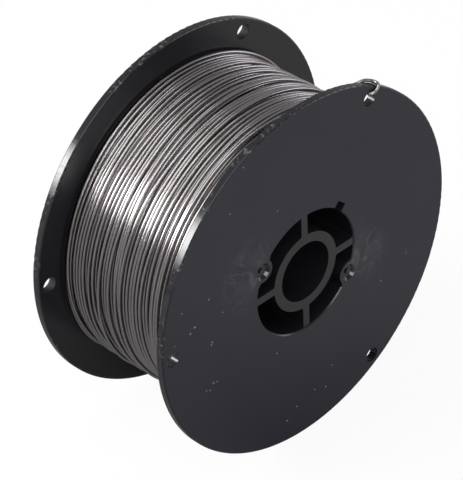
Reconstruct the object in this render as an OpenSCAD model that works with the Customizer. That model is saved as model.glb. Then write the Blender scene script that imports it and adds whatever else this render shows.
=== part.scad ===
// Small 100 mm spool of solid MIG welding wire: a one-piece moulded spool,
// and one length of wire wound on its barrel, whose end is hooked over the
// rim and into a rim hole.
// The spool's axis is Y, its origin is the middle of its bore, and the flange
// that the wire's end is hooked on faces -Y. Angles run from +X towards +Z.

/* [Flanges] */
// Outer diameter of both flanges
flange_d = 99; // [96:0.5:102]
// Thickness of each flange
flange_t = 2.2; // [1.6:0.1:3]
// Radius on the two edges of each rim
rim_edge_r = 0.35; // [0.1:0.05:0.6]
// Overall width over both flanges
spool_w = 45; // [40:0.5:50]

/* [Hub] */
// Diameter of the bore that the spindle goes through
bore_d = 16.5; // [15:0.1:18]
// Wall of the hub tube around the bore
hub_wall = 2.65; // [2:0.05:3.2]
// Inner diameter of the barrel, which is also the opening in each flange
barrel_id = 34; // [32:0.5:36]
// Wall of the barrel that the wire is wound on
barrel_wall = 2; // [1.5:0.1:3]
// Depth that the hub tube and its spokes stay below each face
hub_recess = 0.4; // [0:0.1:1]
// Number of spokes between the hub tube and the barrel
spoke_n = 4; // [3:1:6]
// Thickness of a spoke
spoke_t = 2.1; // [1.5:0.1:3]
// Radius of the fillets where the spokes meet the tube and the barrel
spoke_fillet = 0.5; // [0.2:0.1:0.8]
// Chamfer on the edge of each flange opening
opening_chamfer = 0.3; // [0.1:0.05:0.5]

/* [Gates] */
// Angle of the first gate boss, with a second one opposite
gate_angle = 150; // [120:1:160]
// Radius of a gate boss
gate_boss_r = 3.2; // [2.8:0.1:3.4]
// Distance of a gate boss from the axis
gate_boss_at = 17.3; // [17:0.1:18]
// Length of a gate boss along the barrel
gate_boss_l = 8; // [4:0.5:12]
// Radius of the fillets where a gate boss leaves the barrel
gate_fillet = 1; // [0.4:0.1:1.5]
// Diameter of the round recess in a gate boss
gate_recess_d = 4.6; // [3:0.1:5]
// Diameter of the recess at its bottom
gate_floor_d = 3.2; // [2.6:0.1:4.4]
// Depth of the recess
gate_recess_deep = 0.7; // [0.4:0.1:1]
// Diameter of the gate stub that is left in the recess
gate_stub_d = 1.5; // [1:0.1:2.4]
// Height that the gate stub stands off the bottom of the recess
gate_stub_h = 0.4; // [0.2:0.05:0.4]

/* [Holes and slot] */
// Number of wire holes near the rim of each flange
rim_hole_n = 3; // [2:1:6]
// Diameter of a wire hole
rim_hole_d = 4; // [3:0.1:5]
// Material left between a wire hole and the rim
rim_hole_edge = 1.5; // [1:0.1:3]
// Angle of the first wire hole
rim_hole_angle = 60; // [40:1:80]
// Angle of the starting slot that the wire's inner end is held in
slot_angle = 48; // [30:1:60]
// Width of the starting slot
slot_w = 3.2; // [1.5:0.1:4]
// Depth of the starting slot into the flange, beyond the barrel
slot_over = 0.2; // [0.1:0.1:1]
// Length of the starting slot along the barrel
slot_l = 5; // [3:0.5:10]
// Width of the parting line on the rims
seam_w = 0.4; // [0.2:0.1:1]
// Height of the parting line on the rims
seam_h = 0.12; // [0.05:0.01:0.3]

/* [Wire] */
// Diameter of the welding wire
wire_d = 0.9; // [0.6:0.1:1.2]
// Depth of the winding on the barrel, in layers of wire
layer_n = 26; // [10:1:28]
// Height that each layer adds, as its wires sink between those below
layer_h = 0.81; // [0.6:0.01:0.85]
// Smallest gap between neighbouring turns of the top layer
turn_gap = 0.2; // [0:0.01:0.3]
// Clearance of the hooked end from the rim and the flange face
hook_gap = 0.05; // [0.05:0.05:0.3]
// Length of wire that stands out behind the hole it is hooked into
hook_end = 1.2; // [0.5:0.1:3]

/* [Hidden] */
$fn = 96;
slip = 0.01;
flange_r = flange_d / 2;
front_y = -spool_w / 2;
inner_y = front_y + flange_t;
bore_r = bore_d / 2;
hub_r = bore_r + hub_wall;
opening_r = barrel_id / 2;
barrel_r = opening_r + barrel_wall;
rim_hole_r = rim_hole_d / 2;
rim_hole_at = flange_r - rim_hole_edge - rim_hole_r;
wire_r = wire_d / 2;
traverse = spool_w - 2 * flange_t;
top_r = barrel_r + wire_r + (layer_n - 1) * layer_h;
turn_n = floor((traverse - wire_d) / (wire_d + turn_gap)) + 1;
turn_pitch = (traverse - wire_d) / (turn_n - 1);

// A solid of constant section along the spool's axis, from y to y + length
module along_axis(y, length) {
    translate([0, y, 0])
        rotate([-90, 0, 0])
            mirror([0, 1, 0])
                linear_extrude(length)
                    children();
}

// Half section of one flange, with rounded rim edges and a chamfered opening
module flange_section() {
    r = rim_edge_r;
    c = opening_chamfer;
    difference() {
        translate([opening_r, 0])
            square([flange_r - opening_r, flange_t]);
        polygon([
            [opening_r - slip, -slip],
            [opening_r + c, -slip],
            [opening_r + c, 0],
            [opening_r, c],
            [opening_r - slip, c]
        ]);
        for (edge = [0, 1])
            translate([flange_r, edge * flange_t])
                mirror([0, edge])
                    difference() {
                        translate([-r, -slip])
                            square([r + slip, r + slip]);
                        translate([-r, r])
                            circle(r);
                    }
    }
}

// Both flanges and the barrel, turned about the spool's axis
module turned_body() {
    rotate([-90, 0, 0])
        rotate_extrude()
            union() {
                for (end = [0, 1])
                    mirror([0, end])
                        translate([0, front_y])
                            flange_section();
                translate([opening_r, front_y + opening_chamfer])
                    square([barrel_wall, spool_w - 2 * opening_chamfer]);
            }
}

// Fillet between a spoke's side and a round wall: it fills the corner
// beside the circle of radius f that touches both
module spoke_corner(wall_r, f, side) {
    at = [
        spoke_t / 2 + f,
        sqrt(pow(wall_r + side * f, 2) - pow(spoke_t / 2 + f, 2))
    ];
    foot = at * (wall_r - side * barrel_wall / 2) / (wall_r + side * f);
    difference() {
        polygon([[0, at[1]], at, foot, [0, foot[1]]]);
        translate(at)
            circle(f, $fn = 32);
    }
}

// Section of one spoke with its four fillets, pointing along +Y
module spoke_section() {
    overlap = min(hub_wall, barrel_wall) / 2;
    translate([-spoke_t / 2, hub_r - overlap])
        square([spoke_t, opening_r - hub_r + 2 * overlap]);
    for (m = [0, 1])
        mirror([m, 0]) {
            spoke_corner(hub_r, spoke_fillet, 1);
            spoke_corner(opening_r, spoke_fillet, -1);
        }
}

// Hub tube around the bore, held by the spokes over nearly the whole width
module hub() {
    along_axis(front_y + hub_recess, spool_w - 2 * hub_recess) {
        difference() {
            circle(hub_r);
            circle(bore_r);
        }
        for (i = [0 : spoke_n - 1])
            rotate(i * 360 / spoke_n)
                spoke_section();
    }
}

// Section of a gate boss on the barrel's inner wall, with its two fillets
module gate_section() {
    f = gate_fillet;
    reach = opening_r - f;
    along = (pow(gate_boss_at, 2) + pow(reach, 2) - pow(gate_boss_r + f, 2))
        / (2 * gate_boss_at);
    across = sqrt(pow(reach, 2) - pow(along, 2));
    intersection() {
        circle(barrel_r - barrel_wall / 2);
        union() {
            translate([gate_boss_at, 0])
                circle(gate_boss_r, $fn = 48);
            for (s = [-1, 1])
                difference() {
                    polygon([
                        [gate_boss_at, 0],
                        [along, s * across],
                        [along, s * across] * barrel_r / reach
                    ]);
                    translate([along, s * across])
                        circle(f, $fn = 32);
                }
        }
    }
}

// The two bosses that the plastic was injected through
module gate_bosses() {
    along_axis(front_y, gate_boss_l)
        for (a = [gate_angle, gate_angle + 180])
            rotate(a)
                gate_section();
}

// The dished recess in each boss, around the stub of its gate
module gate_recesses() {
    rim = gate_recess_d / 2;
    bottom = gate_floor_d / 2;
    stub = gate_stub_d / 2;
    deep = gate_recess_deep;
    for (a = [gate_angle, gate_angle + 180])
        translate([gate_boss_at * cos(a), front_y, gate_boss_at * sin(a)])
            rotate([-90, 0, 0])
                rotate_extrude($fn = 48)
                    polygon([
                        [0, -slip],
                        [rim, -slip],
                        [rim, 0],
                        [bottom, deep],
                        [stub, deep],
                        [stub, deep - gate_stub_h],
                        [0, deep - gate_stub_h]
                    ]);
}

// The wire holes through both flanges
module rim_holes() {
    along_axis(front_y - slip, spool_w + 2 * slip)
        for (i = [0 : rim_hole_n - 1])
            rotate(rim_hole_angle + i * 360 / rim_hole_n)
                translate([rim_hole_at, 0])
                    circle(rim_hole_r, $fn = 48);
}

// The slot through the front flange and the barrel's end
module starting_slot() {
    along_axis(front_y - slip, slot_l + slip)
        rotate(slot_angle)
            translate([opening_r - barrel_wall / 2, -slot_w / 2])
                square([barrel_wall * 3 / 2 + slot_over, slot_w]);
}

// The fine raised lines that the mould's two halves leave across the rims
module rim_seams() {
    width = flange_t - 2 * rim_edge_r;
    for (y = [front_y, -front_y - flange_t], a = [gate_angle, gate_angle + 180])
        along_axis(y + rim_edge_r, width)
            rotate(a)
                translate([flange_r - seam_w, -seam_w / 2])
                    square([seam_w + seam_h, seam_w]);
}

// The whole spool, which is one moulding
module spool() {
    color([0.16, 0.16, 0.17])
        difference() {
            union() {
                turned_body();
                hub();
                gate_bosses();
                rim_seams();
            }
            gate_recesses();
            rim_holes();
            starting_slot();
        }
}

// The winding, turned with its bore, and each turn of its top layer round
module winding() {
    rotate([-90, 0, 0])
        rotate_extrude()
            union() {
                translate([barrel_r, -traverse / 2])
                    square([top_r - barrel_r, traverse]);
                for (i = [0 : turn_n - 1])
                    translate([top_r, -traverse / 2 + wire_r + i * turn_pitch])
                        circle(wire_r, $fn = 12);
            }
}

// A place beside the first wire hole: across the radius through the hole,
// outward from the hole, and along the spool's axis
function by_hole(across, outward, y) = [
    (rim_hole_at + outward) * cos(rim_hole_angle) - across * sin(rim_hole_angle),
    y,
    (rim_hole_at + outward) * sin(rim_hole_angle) + across * cos(rim_hole_angle)
];

// A place in the first wire hole, at that radius and angle about its middle
function in_hole(r, angle, y) = by_hole(r * cos(angle), r * sin(angle), y);

// Points of the hooked end, from the winding to its tip. Off the spool's
// faces it keeps the wire's radius and the clearance. It leaves the winding
// along a tangent, runs up beside the flange, crosses the rim, turns down
// the front face, and goes back through the hole
off = wire_r + hook_gap;
rim_out = flange_r - rim_hole_at;
over_rim = rim_out + off;
on_face = front_y - off;
leave_r = top_r - wire_r;
leave_angle = rim_hole_angle + acos(leave_r / (flange_r - wire_r));
leave_y = inner_y + 3.2 * wire_d;
hook_points = [
    [leave_r * cos(leave_angle), leave_y, leave_r * sin(leave_angle)],
    by_hole(3.6 * wire_d, over_rim - 1.65 * wire_d, inner_y + off + 0.4 * wire_d),
    by_hole(1.5 * wire_d, over_rim - 0.15 * wire_d, inner_y + 0.3 * wire_d),
    by_hole(-0.1 * wire_d, over_rim + 0.1 * wire_d, inner_y - 0.2 * wire_d),
    by_hole(-1.3 * wire_d, over_rim + 0.05 * wire_d, inner_y - 0.75 * wire_d),
    by_hole(-1.6 * wire_d, over_rim, front_y + wire_r),
    by_hole(-1.25 * wire_d, rim_out + 0.3 * wire_d, on_face + 0.25 * wire_d),
    by_hole(-0.95 * wire_d, rim_out - 0.5 * wire_d, on_face),
    by_hole(-0.6 * wire_d, rim_out - 1.15 * wire_d, on_face),
    by_hole(-0.05 * wire_d, rim_hole_r - 0.1 * wire_d, on_face),
    by_hole(0.4 * wire_d, rim_hole_r - 0.55 * wire_d, front_y - 0.3 * wire_d),
    in_hole(rim_hole_r - 1.1 * off, 60, front_y + wire_r),
    in_hole(rim_hole_r - off, 52, inner_y - 0.8 * wire_d),
    in_hole(rim_hole_r - off, 40, inner_y + hook_end)
];

// The curve's direction and speed at point i of p, weighed by the distances
// to the points beside it, so that it never swings out between them
function bend(p, i) =
    i == 0 ? unit(p[1] - p[0])
    : i == len(p) - 1 ? unit(p[i] - p[i - 1])
    : let (
        before = p[i] - p[i - 1],
        after = p[i + 1] - p[i],
        b = norm(before),
        a = norm(after)
    )
    (before * a / b + after * b / a) / (a + b);

// A point between point i of p and the next, at the share t of the way
function on_curve(p, i, t) =
    let (
        way = norm(p[i + 1] - p[i]),
        sq = t * t,
        cube = t * t * t
    )
    (2 * cube - 3 * sq + 1) * p[i]
    + (cube - 2 * sq + t) * way * bend(p, i)
    + (3 * sq - 2 * cube) * p[i + 1]
    + (cube - sq) * way * bend(p, i + 1);
function smooth(p, steps) = [
    for (i = [0 : len(p) - 2], k = [0 : steps - 1])
        on_curve(p, i, k / steps),
    p[len(p) - 1]
];
function unit(v) = v / norm(v);

// A round wire of diameter d swept along the points p. Each ring of sides
// corners is square to the path, and keep is never along the path
module swept_wire(p, d, sides, keep) {
    n = len(p);
    rings = [
        for (i = [0 : n - 1])
            let (
                dir = unit(p[min(i + 1, n - 1)] - p[max(i - 1, 0)]),
                u = unit(cross(dir, keep)),
                v = cross(dir, u)
            )
            [
                for (k = [0 : sides - 1])
                    p[i] + d / 2 * (cos(k * 360 / sides) * u + sin(k * 360 / sides) * v)
            ]
    ];
    sides_faces = [
        for (i = [0 : n - 2], k = [0 : sides - 1])
            let (next = (k + 1) % sides)
            [i * sides + k, i * sides + next, (i + 1) * sides + next, (i + 1) * sides + k]
    ];
    start_face = [for (k = [sides - 1 : -1 : 0]) k];
    end_face = [for (k = [0 : sides - 1]) (n - 1) * sides + k];
    polyhedron(
        points = [for (ring = rings, q = ring) q],
        faces = concat([start_face], sides_faces, [end_face])
    );
}

// The end of the wire, which leaves the winding, passes over the rim and
// is bent back into the hole
module hooked_end() {
    outward = [cos(rim_hole_angle), 0, sin(rim_hole_angle)];
    swept_wire(smooth(hook_points, 5), wire_d, 12, outward);
}

// The wire: its winding and its hooked end
module wire() {
    color([0.62, 0.61, 0.6])
        union() {
            winding();
            hooked_end();
        }
}

spool();
wire();
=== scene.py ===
import math

import bpy
import numpy as np
from mathutils import Matrix, Vector


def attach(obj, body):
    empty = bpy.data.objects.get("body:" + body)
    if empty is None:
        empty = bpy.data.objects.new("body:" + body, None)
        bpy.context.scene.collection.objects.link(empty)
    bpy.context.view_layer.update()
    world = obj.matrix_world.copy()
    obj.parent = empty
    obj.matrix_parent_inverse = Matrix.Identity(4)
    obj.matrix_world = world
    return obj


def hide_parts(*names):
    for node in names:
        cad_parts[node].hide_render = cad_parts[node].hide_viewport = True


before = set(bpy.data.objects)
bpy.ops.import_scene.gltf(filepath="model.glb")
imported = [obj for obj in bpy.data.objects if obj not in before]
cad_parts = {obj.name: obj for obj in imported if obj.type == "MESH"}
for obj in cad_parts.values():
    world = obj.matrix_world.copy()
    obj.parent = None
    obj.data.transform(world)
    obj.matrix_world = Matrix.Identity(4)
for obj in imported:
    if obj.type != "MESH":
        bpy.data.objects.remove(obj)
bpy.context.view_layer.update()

MM = 0.001

# Sizes of the spool and its wire, in mm, as the CAD model has them
FLANGE_R = 49.5
FLANGE_T = 2.2
SPOOL_W = 45.0
BARREL_R = 19.0
BORE_R = 8.25
HOLE_AT = 46.0
HOLE_R = 2.0
HOLE_ANGLE = 60.0
GATE_ANGLE = 150.0
GATE_AT = 17.3
WIRE_D = 0.9
FRONT_Y = -SPOOL_W / 2
INNER_Y = FRONT_Y + FLANGE_T
TRAVERSE = SPOOL_W - 2 * FLANGE_T


def on_circle(radius, angle, y=0.0):
    """The point at that radius and angle about the spool's axis, from +X towards +Z"""
    a = math.radians(angle)
    return np.array([radius * math.cos(a), y, radius * math.sin(a)])


# Mesh helpers

def mesh_object(name, verts, faces, material, uv=None):
    """A smooth-shaded mesh object from arrays in mm, with one uv for each vertex"""
    mesh = bpy.data.meshes.new(name)
    mesh.from_pydata((np.asarray(verts) * MM).tolist(), [], faces)
    mesh.polygons.foreach_set("use_smooth", [True] * len(mesh.polygons))
    if uv is not None:
        corner = np.zeros(len(mesh.loops), dtype=np.int32)
        mesh.loops.foreach_get("vertex_index", corner)
        layer = mesh.uv_layers.new(name="wire")
        layer.data.foreach_set("uv", np.asarray(uv)[corner].astype(np.float32).ravel())
    mesh.materials.append(material)
    mesh.validate()
    mesh.update()
    piece = bpy.data.objects.new(name, mesh)
    bpy.context.scene.collection.objects.link(piece)
    return piece


def swept_rings(path, radius, sides, first_normal):
    """Rings of a round wire along path. Each ring's frame is carried on from the last,
    so the wire never twists"""
    step = np.gradient(path, axis=0)
    tangent = step / np.linalg.norm(step, axis=1)[:, None]
    normals = np.zeros_like(path)
    normal = np.asarray(first_normal, float)
    for i, t in enumerate(tangent):
        normal = normal - normal.dot(t) * t
        normal = normal / np.linalg.norm(normal)
        normals[i] = normal
    side = np.cross(tangent, normals)
    turn = np.arange(sides) * 2 * np.pi / sides
    return (
        path[:, None, :]
        + radius * np.cos(turn)[None, :, None] * normals[:, None, :]
        + radius * np.sin(turn)[None, :, None] * side[:, None, :]
    )


def wire_mesh(name, path, radius, sides, material):
    """A wire swept along path, closed at both ends. Its uv runs along it in mm"""
    rings = swept_rings(path, radius, sides, path[0] * [1, 0, 1])
    n = len(path)
    i, k = np.meshgrid(np.arange(n - 1), np.arange(sides), indexing="ij")
    following = (k + 1) % sides
    quads = np.stack(
        [i * sides + k, i * sides + following, (i + 1) * sides + following, (i + 1) * sides + k],
        axis=-1,
    ).reshape(-1, 4)
    ends = [list(range(sides))[::-1], [(n - 1) * sides + j for j in range(sides)]]
    length = np.concatenate([[0], np.cumsum(np.linalg.norm(np.diff(path, axis=0), axis=1))])
    uv = np.stack(
        [np.repeat(length, sides), np.tile(np.arange(sides) / sides, n)], axis=1
    )
    return mesh_object(name, rings.reshape(-1, 3), quads.tolist() + ends, material, uv)


# The winding: the wire is laid station by station, as on a winding machine

STATIONS = 180
LAY_HALF = TRAVERSE / 2 - WIRE_D / 2
LEAVE_ANGLE = 98.0
LAYER_TURNS = (39, 39, 39, 40)
LAID_ON_R = 36.3
CORE_R = 36.9


def bell(width):
    """Weights that smooth a row of stations as the wire's stiffness does"""
    x = np.arange(-3 * width, 3 * width + 1)
    w = np.exp(-x * x / (2.0 * width * width))
    return w / w.sum()


def settled(row, weights):
    """The whole row smoothed, its ends held"""
    pad = len(weights)
    line = np.concatenate([np.full(pad, row[0]), row, np.full(pad, row[-1])])
    return np.convolve(line, weights, "same")[pad:-pad]


class Winding:
    """The wire's route so far: y and r at each station, one turn after another"""

    BLOCK, AHEAD, NEAR = 60, 45, 100
    REACH, SLIDE, FOLLOW, PASSES = 0.06, 0.16, 0.02, 28

    def __init__(self, base, first_y):
        self.base = base
        self.y = np.full(STATIONS, first_y)
        self.r = np.full(STATIONS, base)
        self.stiff, self.sag = bell(7), bell(3)

    def turns(self):
        return len(self.y) // STATIONS

    def under(self, stations):
        """The wires laid at these stations in the last turns, as rows of y and of r"""
        back = np.arange(1, self.NEAR + 1)[:, None] * STATIONS
        at = stations[None, :] - back
        laid = at >= 0
        at = np.where(laid, at, 0)
        return self.y[at], np.where(laid, self.r[at], 0)

    def resting(self, y, under_y, under_r):
        """Radius at which a wire at y rests on the wires under it"""
        drop = WIRE_D**2 - (y[None, :] - under_y) ** 2
        on = np.where(drop > 0, under_r + np.sqrt(np.clip(drop, 0, None)), 0)
        return np.maximum(self.base, on.max(axis=0))

    def smooth(self, row, before, weights):
        pad = len(weights)
        line = np.concatenate([before[-pad:], row, 2 * row[-1] - row[-2 : -pad - 2 : -1]])
        return np.convolve(line, weights, "same")[pad:-pad]

    def lay(self, guide, turns):
        """Lays that many turns. guide gives the feed's y after t turns. Each stretch
        slides down between the wires under it, as far as its stiffness lets it"""
        start = len(self.y)
        end = start + turns * STATIONS
        while len(self.y) < end:
            stations = len(self.y) + np.arange(self.BLOCK + self.AHEAD)
            under_y, under_r = self.under(stations)
            feed = np.clip(guide((stations - start) / STATIONS), -LAY_HALF, LAY_HALF)
            y = feed.copy()
            for _ in range(self.PASSES):
                slope = (
                    self.resting(y + self.REACH, under_y, under_r)
                    - self.resting(y - self.REACH, under_y, under_r)
                ) / (2 * self.REACH)
                y = y + self.FOLLOW * (feed - y) - self.SLIDE * np.clip(slope, -1.2, 1.2)
                y = np.clip(self.smooth(y, self.y, self.stiff), -LAY_HALF, LAY_HALF)
            floor = self.resting(y, under_y, under_r)
            r = floor
            for _ in range(20):
                r = np.maximum(floor, self.smooth(r, self.r, self.sag))
            kept = min(self.BLOCK, end - len(self.y))
            self.y = np.concatenate([self.y, y[:kept]])
            self.r = np.concatenate([self.r, r[:kept]])

    def low_places(self, at_y):
        """How far below its mean height the winding's surface is, at each y"""
        stations = len(self.y) + np.arange(0, STATIONS, 6)
        under_y, under_r = self.under(stations)
        height = [self.resting(np.full(len(stations), y), under_y, under_r).mean() for y in at_y]
        return np.mean(height) - np.array(height)


def levelling_layer(winding, rng, turns, direction):
    """The feed's route over one layer: it dwells where the winding is low, its steps
    are uneven, and it sways slowly"""
    grid = np.linspace(-LAY_HALF, LAY_HALF, 80)
    dwell = np.clip(1 + 0.9 * winding.low_places(grid), 0.45, 2.2)
    share = np.concatenate([[0], np.cumsum((dwell[1:] + dwell[:-1]) / 2)])
    steps = np.concatenate([[0], np.cumsum(rng.normal(1.0, 0.16, turns).clip(0.3, 2.0))])
    done = steps / steps[-1]
    if direction < 0:
        done = 1 - done
    at = np.interp(done, share / share[-1], grid)
    phase = rng.uniform(0, 2 * math.pi, 4)
    size = rng.uniform(0.03, 0.13, 4)

    def guide(t):
        sway = sum(
            s * np.sin(2 * np.pi * t * (0.21 + 0.17 * i) + p)
            for i, (s, p) in enumerate(zip(size, phase))
        )
        return np.interp(t, np.arange(len(at)), at) + sway

    return guide


def turn_at(count, angle):
    """Turns laid when the top layer passes that angle, near its count-th turn"""
    return count + (LEAVE_ANGLE - angle) / 360


# Where the top layer's wire goes: (turns laid, y). It jumps over its neighbours
# where the photograph shows it cross them
TOP_LAYER = [
    (0, LAY_HALF),
    (turn_at(6, 167), 13.8),
    (turn_at(6, 119), 11.1),
    (turn_at(7, 167), 10.6),
    (turn_at(7, 136), 8.8),
    (turn_at(19, 125), -3.9),
    (turn_at(19, 76), -5.5),
    (turn_at(25, 125), -11.2),
    (turn_at(25, 98), -12.4),
    (30, INNER_Y + 3.2 * WIRE_D),
]


def top_layer(rng):
    times, places = np.array(TOP_LAYER).T
    phase = rng.uniform(0, 2 * math.pi, 3)

    def guide(t):
        sway = sum(0.07 * np.sin(2 * np.pi * t * (0.37 + 0.29 * i) + p) for i, p in enumerate(phase))
        fade = np.clip(times[-1] - t, 0, 1)
        return np.interp(t, times, places) + sway * fade

    return guide


def wind_spool():
    """The wire's route in the outer layers, and the turn that each layer starts with"""
    rng = np.random.default_rng(11)
    winding = Winding(LAID_ON_R, LAY_HALF)
    starts = []
    direction = -1
    for turns in LAYER_TURNS:
        starts.append(winding.turns())
        winding.lay(levelling_layer(winding, rng, turns, direction), turns)
        direction = -direction
    starts.append(winding.turns())
    winding.lay(top_layer(rng), int(TOP_LAYER[-1][0]))
    y = settled(winding.y, bell(3))
    r = settled(winding.r, bell(2)) + CORE_R - LAID_ON_R
    return starts, y.reshape(-1, STATIONS), r.reshape(-1, STATIONS)


def turns_path(laid_y, laid_r):
    """Points of these turns, in the order they were laid. The last ends where
    the wire leaves the winding"""
    y, r = laid_y.ravel(), laid_r.ravel()
    left = np.arange(len(y), 0, -1) / STATIONS
    angle = np.radians(LEAVE_ANGLE) + left * 2 * np.pi
    return np.stack([r * np.cos(angle), y, r * np.sin(angle)], axis=1)


# The wire's hooked end

def by_hole(across, outward, y):
    """A place beside the first wire hole: across the radius, outward, and along the axis"""
    a = math.radians(HOLE_ANGLE)
    return np.array(
        [
            (HOLE_AT + outward) * math.cos(a) - across * math.sin(a),
            y,
            (HOLE_AT + outward) * math.sin(a) + across * math.cos(a),
        ]
    )


def in_hole(radius, angle, y):
    """A place in the first wire hole, at that radius and angle about its middle"""
    a = math.radians(angle)
    return by_hole(radius * math.cos(a), radius * math.sin(a), y)


def curve_through(points, steps):
    """A smooth curve through the points. Each point's direction is weighed by the
    distances to its neighbours, so the curve never swings out between them"""
    p = np.asarray(points, float)
    gap = np.diff(p, axis=0)
    length = np.linalg.norm(gap, axis=1)[:, None]
    way = gap / length
    bend = (way[:-1] * length[1:] + way[1:] * length[:-1]) / (length[:-1] + length[1:])
    bend = np.vstack([way[:1], bend, way[-1:]])
    t = (np.arange(steps) / steps)[:, None]
    parts = [
        (2 * t**3 - 3 * t**2 + 1) * p[i]
        + (t**3 - 2 * t**2 + t) * length[i] * bend[i]
        + (3 * t**2 - 2 * t**3) * p[i + 1]
        + (t**3 - t**2) * length[i] * bend[i + 1]
        for i in range(len(p) - 1)
    ]
    return np.vstack(parts + [p[-1:]])


def hook_points():
    """The wire's end beside the flange, over the rim, down the face and into the hole"""
    w = WIRE_D
    off = w / 2 + 0.05
    rim = FLANGE_R - HOLE_AT
    over = rim + off
    face = FRONT_Y - off
    return [
        by_hole(3.6 * w, over - 1.65 * w, INNER_Y + off + 0.4 * w),
        by_hole(1.5 * w, over - 0.2 * w, INNER_Y + 0.1 * w),
        by_hole(-0.1 * w, over, INNER_Y - 0.25 * w),
        by_hole(-1.3 * w, over + 0.05 * w, INNER_Y - 0.75 * w),
        by_hole(-1.6 * w, over, FRONT_Y + 0.5 * w),
        by_hole(-1.25 * w, rim + 0.3 * w, face + 0.25 * w),
        by_hole(-0.95 * w, rim - 0.5 * w, face),
        by_hole(-0.6 * w, rim - 1.15 * w, face),
        by_hole(-0.05 * w, HOLE_R - 0.1 * w, face),
        by_hole(0.4 * w, HOLE_R - 0.55 * w, FRONT_Y - 0.3 * w),
        in_hole(HOLE_R - 1.1 * off, 60, FRONT_Y + 0.5 * w),
        in_hole(HOLE_R - off, 52, INNER_Y - 0.8 * w),
        in_hole(HOLE_R - off, 40, INNER_Y + 1.2),
    ]


# Materials

def new_material(name):
    material = bpy.data.materials.new(name)
    material.use_nodes = True
    nodes, links = material.node_tree.nodes, material.node_tree.links
    return material, nodes, links, nodes["Principled BSDF"]


class Shading:
    """Short ways to add and join the nodes of one material"""

    def __init__(self, material):
        self.nodes, self.links = material.node_tree.nodes, material.node_tree.links
        self.shader = self.nodes["Principled BSDF"]
        self.place = self.nodes.new("ShaderNodeTexCoord").outputs["Object"]

    def set(self, socket, value):
        if isinstance(value, bpy.types.NodeSocket):
            self.links.new(value, socket)
        else:
            socket.default_value = value

    def math(self, operation, *values):
        node = self.nodes.new("ShaderNodeMath")
        node.operation = operation
        for socket, value in zip(node.inputs, values):
            self.set(socket, value)
        return node.outputs[0]

    def vector(self, operation, *values):
        node = self.nodes.new("ShaderNodeVectorMath")
        node.operation = operation
        for socket, value in zip(node.inputs, values):
            self.set(socket, value)
        return node.outputs["Value" if operation in ("LENGTH", "DISTANCE") else "Vector"]

    def ramp(self, value, low, high, to_low=0.0, to_high=1.0):
        """The value's range from low to high spread over to_low to to_high"""
        node = self.nodes.new("ShaderNodeMapRange")
        for name, given in (
            ("Value", value),
            ("From Min", low),
            ("From Max", high),
            ("To Min", to_low),
            ("To Max", to_high),
        ):
            self.set(node.inputs[name], given)
        return node.outputs["Result"]

    def noise(self, vector, scale, detail=2.0, distortion=0.0):
        node = self.nodes.new("ShaderNodeTexNoise")
        self.links.new(vector, node.inputs["Vector"])
        node.inputs["Scale"].default_value = scale
        node.inputs["Detail"].default_value = detail
        node.inputs["Distortion"].default_value = distortion
        return node.outputs["Fac"]

    def mix(self, share, first, second):
        node = self.nodes.new("ShaderNodeMix")
        node.data_type = "RGBA"
        self.set(node.inputs["Factor"], share)
        self.set(node.inputs["A"], first)
        self.set(node.inputs["B"], second)
        return node.outputs["Result"]

    def bump(self, height, strength, distance):
        node = self.nodes.new("ShaderNodeBump")
        node.inputs["Strength"].default_value = strength
        node.inputs["Distance"].default_value = distance
        self.links.new(height, node.inputs["Height"])
        self.links.new(node.outputs["Normal"], self.shader.inputs["Normal"])


# Pale nicks and dust on the front face: x, z and radius in mm
SPECKS = [
    (-40, 4.4, 0.35),
    (-38.5, 5.5, 0.4),
    (-32.9, -2.4, 0.3),
    (-33.2, -3.1, 0.3),
    (-35.5, -16, 0.3),
    (-34.2, -16.7, 0.3),
    (-33, -15, 0.35),
    (-31.8, -15.3, 0.25),
    (-45.4, 3.7, 0.3),
    (-20.5, 43, 0.25),
    (-9.5, 24, 0.25),
    (-25.5, 32, 0.25),
    (-42.5, 12, 0.25),
    (-33.5, 11, 0.3),
    (-29, 4.5, 0.25),
    (-4.5, -40, 0.25),
    (-8, -42.5, 0.3),
    (2, -38.5, 0.25),
    (6, -40, 0.3),
    (8.5, -34.5, 0.25),
    (26.5, -18, 0.3),
    (36, -14.5, 0.3),
    (-11, -19, 0.25),
]


def flow_marks(draw, gate, lean):
    """Silvery streaks that the plastic left as it spread from a gate, most of them
    on the side that lean points to"""
    away = draw.vector("SUBTRACT", draw.place, tuple(gate * MM))
    wisp = draw.math("SUBTRACT", draw.noise(away, 110, 2.0, 1.0), 0.5)
    wisp = draw.ramp(draw.math("ABSOLUTE", wisp), 0.06, 0.0, 0.0, 0.8)
    veil = draw.ramp(draw.noise(away, 140, 2.0), 0.38, 0.62, 0.0, 0.6)
    fade = draw.ramp(draw.vector("LENGTH", away), 0.015, 0.004)
    side = draw.ramp(draw.vector("DISTANCE", draw.vector("NORMALIZE", away), lean), 1.5, 0.4)
    return draw.math("MULTIPLY", draw.math("ADD", wisp, veil), draw.math("MULTIPLY", fade, side))


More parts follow.
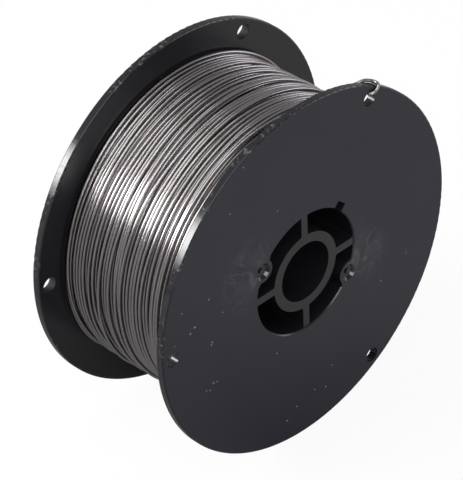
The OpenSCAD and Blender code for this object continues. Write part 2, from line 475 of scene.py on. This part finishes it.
def plastic_material():
    """Satin black plastic: faintly cloudy, silvery by the gates, nicked on its front
    face and scuffed along its rims, which are glossier. Its front face has a painted cool tint of
    light"""
    material = new_material("spool_plastic")[0]
    draw = Shading(material)
    draw.shader.inputs["Specular IOR Level"].default_value = 0.5
    radius = draw.vector("LENGTH", draw.vector("MULTIPLY", draw.place, (1, 0, 1)))
    split = draw.nodes.new("ShaderNodeSeparateXYZ")
    draw.links.new(draw.place, split.inputs["Vector"])
    on_front = draw.ramp(split.outputs["Y"], (FRONT_Y + 0.5) * MM, (FRONT_Y + 0.3) * MM)

    cloud = draw.noise(draw.place, 60, 4)
    colour = draw.mix(cloud, (0.0105, 0.0102, 0.0128, 1), (0.018, 0.0176, 0.0215, 1))
    # The front face gets a bluer copy of the plastic's colour: painted cool light on the side facing
    # the front
    painted_cool_light_front = draw.mix(cloud, (0.0108, 0.0092, 0.0205, 1), (0.0185, 0.0165, 0.0325, 1))
    painted_light_on_front = draw.ramp(split.outputs["Y"], (FRONT_Y + 0.1) * MM, (FRONT_Y + 0.02) * MM)
    colour = draw.mix(painted_light_on_front, colour, painted_cool_light_front)
    flow = draw.math(
        "ADD",
        flow_marks(draw, on_circle(GATE_AT, GATE_ANGLE, FRONT_Y), (-0.9, 0, 0.4)),
        flow_marks(draw, on_circle(GATE_AT, GATE_ANGLE + 180, FRONT_Y), (0.8, 0, 0.6)),
    )
    flow = draw.math("MULTIPLY", flow, on_front)
    colour = draw.mix(draw.math("MULTIPLY", flow, 0.9), colour, (0.1, 0.098, 0.112, 1))

    speck = 0.0
    for x, z, size in SPECKS:
        distance = draw.vector("DISTANCE", draw.place, (x * MM, FRONT_Y * MM, z * MM))
        speck = draw.math("MAXIMUM", draw.ramp(distance, size * MM, size * MM / 2), speck)
    speck = draw.math("MULTIPLY", speck, draw.ramp(draw.noise(draw.place, 2500, 2), 0.25, 0.5))
    colour = draw.mix(speck, colour, (0.38, 0.38, 0.37, 1))

    edge = draw.ramp(radius, (FLANGE_R - 0.6) * MM, (FLANGE_R - 0.25) * MM)
    scuff = draw.math(
        "MULTIPLY",
        draw.ramp(draw.noise(draw.place, 900, 3), 0.55, 0.7),
        draw.ramp(draw.noise(draw.place, 45, 1), 0.45, 0.58),
    )
    scuff = draw.math("MULTIPLY", scuff, edge)
    colour = draw.mix(draw.math("MULTIPLY", scuff, 0.7), colour, (0.15, 0.15, 0.15, 1))
    draw.links.new(colour, draw.shader.inputs["Base Color"])

    beside = FLANGE_R * MM
    across = draw.vector("MULTIPLY", draw.place, (1, 0, 1))
    for angle in (HOLE_ANGLE, HOLE_ANGLE + 120, HOLE_ANGLE + 240):
        hole = draw.vector("DISTANCE", across, tuple(on_circle(HOLE_AT, angle) * MM))
        beside = draw.math("MINIMUM", hole, beside)
    dull = draw.math(
        "MULTIPLY",
        draw.ramp(beside, (HOLE_R + 0.25) * MM, (HOLE_R + 0.15) * MM, 0.0, 0.5),
        draw.math("GREATER_THAN", split.outputs["Y"], 0.0),
    )
    gloss = draw.ramp(radius, (FLANGE_R - 0.35) * MM, (FLANGE_R - 0.1) * MM, 0.22, 0.12)
    gloss = draw.math("ADD", gloss, dull)
    for angle in (GATE_ANGLE, GATE_ANGLE + 180):
        gate = draw.vector("DISTANCE", across, tuple(on_circle(GATE_AT, angle) * MM))
        shine = draw.ramp(gate, 3.0 * MM, 2.6 * MM, 0.0, 0.12)
        gloss = draw.math("SUBTRACT", gloss, shine)
    gloss = draw.math("ADD", gloss, draw.math("MULTIPLY", cloud, 0.05))
    worn = draw.math("ADD", draw.math("MULTIPLY", flow, 0.1), draw.math("MULTIPLY", scuff, 0.2))
    draw.links.new(draw.math("ADD", gloss, worn), draw.shader.inputs["Roughness"])
    grain = draw.math("ADD", draw.noise(draw.place, 1500, 2), draw.math("MULTIPLY", flow, 0.6))
    draw.bump(draw.math("ADD", grain, speck), 0.12, 0.00005)
    return material


def wire_material():
    material, nodes, links, shader = new_material("wire_steel")
    shader.inputs["Metallic"].default_value = 1.0
    shader.inputs["Roughness"].default_value = 0.22
    uv = nodes.new("ShaderNodeUVMap")
    uv.uv_map = "wire"
    stretch = nodes.new("ShaderNodeMapping")
    stretch.inputs["Scale"].default_value = (0.08, 4.0, 1.0)
    links.new(uv.outputs["UV"], stretch.inputs["Vector"])
    streak = nodes.new("ShaderNodeTexNoise")
    streak.inputs["Scale"].default_value = 1.0
    streak.inputs["Detail"].default_value = 3
    links.new(stretch.outputs["Vector"], streak.inputs["Vector"])
    ramp = nodes.new("ShaderNodeValToRGB")
    ramp.color_ramp.elements[0].color = (0.33, 0.308, 0.313, 1)
    ramp.color_ramp.elements[1].color = (0.46, 0.44, 0.44, 1)
    links.new(streak.outputs["Fac"], ramp.inputs["Fac"])
    links.new(ramp.outputs["Color"], shader.inputs["Base Color"])
    return material


def inner_layers(name, material):
    """The hidden layers under those that are laid turn by turn, as one ring"""
    corners = [(BARREL_R, -1), (CORE_R, -1), (CORE_R, 1), (BARREL_R, 1)]
    n = 120
    verts, uv = [], []
    for i in range(n):
        for j, (radius, end) in enumerate(corners):
            verts.append(on_circle(radius, i * 360 / n, end * TRAVERSE / 2))
            uv.append((i * radius * 2 * math.pi / n, j / 4))
    faces = [
        [i * 4 + j, i * 4 + (j + 1) % 4, (i + 1) % n * 4 + (j + 1) % 4, (i + 1) % n * 4 + j]
        for i in range(n)
        for j in range(4)
    ]
    return mesh_object(name, verts, faces, material, uv)


def build_wire(material):
    starts, laid_y, laid_r = wind_spool()
    top = turns_path(laid_y[starts[-1]:], laid_r[starts[-1]:])
    hook = curve_through([top[-1]] + hook_points(), 8)
    end = np.vstack([top[:-1], hook])
    pieces = [
        wire_mesh("wire_top_layer", end, WIRE_D / 2, 12, material),
        inner_layers("wire_inner_layers", material),
    ]
    later = starts[-1]
    for n, start in enumerate(reversed(starts[1:-1])):
        turns = slice(start, later)
        # the path of a lower layer ends at the same angle as the layer above starts
        path = turns_path(laid_y[turns], laid_r[turns])
        pieces.append(wire_mesh(f"wire_under_layer_{n + 1}", path, WIRE_D / 2, 8, material))
        later = start
    return pieces


# Build

plastic = plastic_material()
steel = wire_material()
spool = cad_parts["spool"]
spool.data.materials.clear()
spool.data.materials.append(plastic)

for piece in build_wire(steel):
    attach(piece, "root")
    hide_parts("wire")


# Floor, light and camera

def seen_white(nodes, links, in_reflections):
    """How much of a surface is plain white: all of it to the camera, and the share
    in_reflections (a number or a socket) in what metal and plastic mirror"""
    path = nodes.new("ShaderNodeLightPath")
    reflected = nodes.new("ShaderNodeMath")
    reflected.operation = "MAXIMUM"
    links.new(path.outputs["Is Glossy Ray"], reflected.inputs[0])
    links.new(path.outputs["Is Transmission Ray"], reflected.inputs[1])
    share = nodes.new("ShaderNodeMath")
    share.operation = "MULTIPLY_ADD"
    share.use_clamp = True
    if isinstance(in_reflections, float):
        share.inputs[1].default_value = in_reflections
    else:
        links.new(in_reflections, share.inputs[1])
    links.new(reflected.outputs[0], share.inputs[0])
    links.new(path.outputs["Is Camera Ray"], share.inputs[2])
    return share.outputs[0]


def painted_light_towards_right(nodes, links):
    """A painted gradient of light and shade on the floor: the white floor's share in reflections
    grows towards the front right, and is painted shade towards the back left
    """
    place = nodes.new("ShaderNodeTexCoord")
    along = nodes.new("ShaderNodeVectorMath")
    along.operation = "DOT_PRODUCT"
    along.inputs[1].default_value = (0.8, -0.6, 0)
    grow = nodes.new("ShaderNodeMapRange")
    grow.inputs["From Min"].default_value = -0.02
    grow.inputs["From Max"].default_value = 0.07
    grow.inputs["To Min"].default_value = 0.04
    grow.inputs["To Max"].default_value = 0.39
    links.new(place.outputs["Object"], along.inputs[0])
    links.new(along.outputs["Value"], grow.inputs["Value"])
    return grow.outputs["Result"]


def add_floor():
    """A floor that looks white with the object's soft shadow, and lights it dimly"""
    size = 3.0
    z = -FLANGE_R * MM
    verts = [(-size, -size, z), (size, -size, z), (size, size, z), (-size, size, z)]
    mesh = bpy.data.meshes.new("floor")
    mesh.from_pydata(verts, [], [(0, 1, 2, 3)])
    material, nodes, links, table = new_material("floor_white")
    table.inputs["Base Color"].default_value = (0.17, 0.17, 0.17, 1)
    table.inputs["Roughness"].default_value = 0.9
    paper = nodes.new("ShaderNodeBsdfDiffuse")
    paper.inputs["Color"].default_value = (0.85, 0.85, 0.85, 1)
    glow = nodes.new("ShaderNodeEmission")
    white = nodes.new("ShaderNodeMixShader")
    white.inputs["Fac"].default_value = 0.93
    links.new(paper.outputs[0], white.inputs[1])
    links.new(glow.outputs[0], white.inputs[2])
    mix = nodes.new("ShaderNodeMixShader")
    # in reflections the floor carries painted light, darker towards the back left where the spool's
    # shade falls
    share = painted_light_towards_right(nodes, links)
    links.new(seen_white(nodes, links, share), mix.inputs["Fac"])
    links.new(table.outputs[0], mix.inputs[1])
    links.new(white.outputs[0], mix.inputs[2])
    links.new(mix.outputs[0], nodes["Material Output"].inputs["Surface"])
    mesh.materials.append(material)
    floor = bpy.data.objects.new("floor", mesh)
    bpy.context.scene.collection.objects.link(floor)


def set_world():
    """A studio: grey all round, dimmer overhead, and white where the camera sees it"""
    world = bpy.data.worlds.new("studio")
    world.use_nodes = True
    nodes, links = world.node_tree.nodes, world.node_tree.links
    place = nodes.new("ShaderNodeTexCoord")
    split = nodes.new("ShaderNodeSeparateXYZ")
    ramp = nodes.new("ShaderNodeValToRGB")
    links.new(place.outputs["Generated"], split.inputs["Vector"])
    links.new(split.outputs["Z"], ramp.inputs["Fac"])
    stops = ramp.color_ramp.elements
    stops[0].position, stops[0].color = 0.0, (0.33, 0.33, 0.33, 1)
    stops[1].position, stops[1].color = 0.5, (0.24, 0.24, 0.24, 1)
    white = nodes.new("ShaderNodeMix")
    white.data_type = "RGBA"
    white.inputs["B"].default_value = (1, 1, 1, 1)
    links.new(seen_white(nodes, links, 0.1), white.inputs["Factor"])
    links.new(ramp.outputs["Color"], white.inputs["A"])
    links.new(white.outputs["Result"], nodes["Background"].inputs["Color"])
    bpy.context.scene.world = world


def add_area(name, toward, distance, width, height, power, colour=(1, 1, 1)):
    """A soft box in that direction from the spool, facing it. Its width runs along
    the spool's axis as nearly as it can"""
    light = bpy.data.lights.new(name, "AREA")
    light.shape = "RECTANGLE"
    light.size = width
    light.size_y = height
    light.energy = power
    light.color = colour
    away = Vector(toward).normalized()
    along = Vector((0, 1, 0))
    along = (along - along.dot(away) * away).normalized()
    axes = Matrix((along, away.cross(along), away)).transposed().to_4x4()
    lamp = bpy.data.objects.new(name, light)
    lamp.matrix_world = Matrix.Translation(away * distance) @ axes
    bpy.context.scene.collection.objects.link(lamp)


# Camera as fitted to the photograph's outlines: the direction it looks from, at a
# zero roll, the lens, and where the spool's middle falls
CAMERA_AZIMUTH = -45.475
CAMERA_ELEVATION = 35.876
SPOOL_TURN = 2.3
LENS_PIXELS = 3947.5
FRAME_HEIGHT = 480
SPOOL_IN_VIEW = (2.3176, -1.3840, 977.81)


def add_camera():
    azimuth, elevation = math.radians(CAMERA_AZIMUTH), math.radians(CAMERA_ELEVATION)
    back = Vector(
        (
            math.sin(azimuth) * math.cos(elevation),
            -math.cos(azimuth) * math.cos(elevation),
            math.sin(elevation),
        )
    )
    right = (-back).cross(Vector((0, 0, 1))).normalized()
    up = back.cross(right)
    x, y, z = SPOOL_IN_VIEW
    place = (-x * right + y * up + z * back) * MM
    axes = Matrix((right, up, back)).transposed().to_4x4()
    untwist = Matrix.Rotation(math.radians(SPOOL_TURN), 4, "Y")
    camera = bpy.data.objects.new("camera", bpy.data.cameras.new("camera"))
    camera.data.sensor_width = 36
    camera.data.lens = LENS_PIXELS * camera.data.sensor_width / FRAME_HEIGHT
    camera.data.clip_start = 0.05
    camera.data.clip_end = 20
    camera.matrix_world = untwist @ Matrix.Translation(place) @ axes
    bpy.context.scene.collection.objects.link(camera)
    bpy.context.scene.camera = camera


add_floor()
set_world()
add_area("back_softbox", (-0.7, 0.55, 0.42), 1.26, 0.7, 0.5, 8.8)
add_area("back_middle", (-0.7, 0.55, 0.42), 1.23, 0.7, 0.35, 5)
add_area("back_core", (-0.7, 0.55, 0.42), 1.2, 0.7, 0.2, 2.5)
add_area("back_upper", (-0.72, 0.2, 0.6), 1.2, 0.3, 0.6, 2.6)
add_area("back_strip", (-0.14, 0.2, 0.97), 1.0, 0.2, 1.1, 2.3)
add_area("top_softbox", (-0.33, -0.3, 0.85), 1.3, 1.3, 1.0, 4.6)
add_area("front_softbox", (0.87, -0.48, 0.04), 1.3, 0.7, 0.55, 2.9, (0.91, 0.89, 1.0))
add_area("front_strip", (-0.35, -0.8, 0.36), 1.2, 0.12, 0.85, 2.6)
add_camera()
bpy.context.scene.view_settings.view_transform = "Standard"
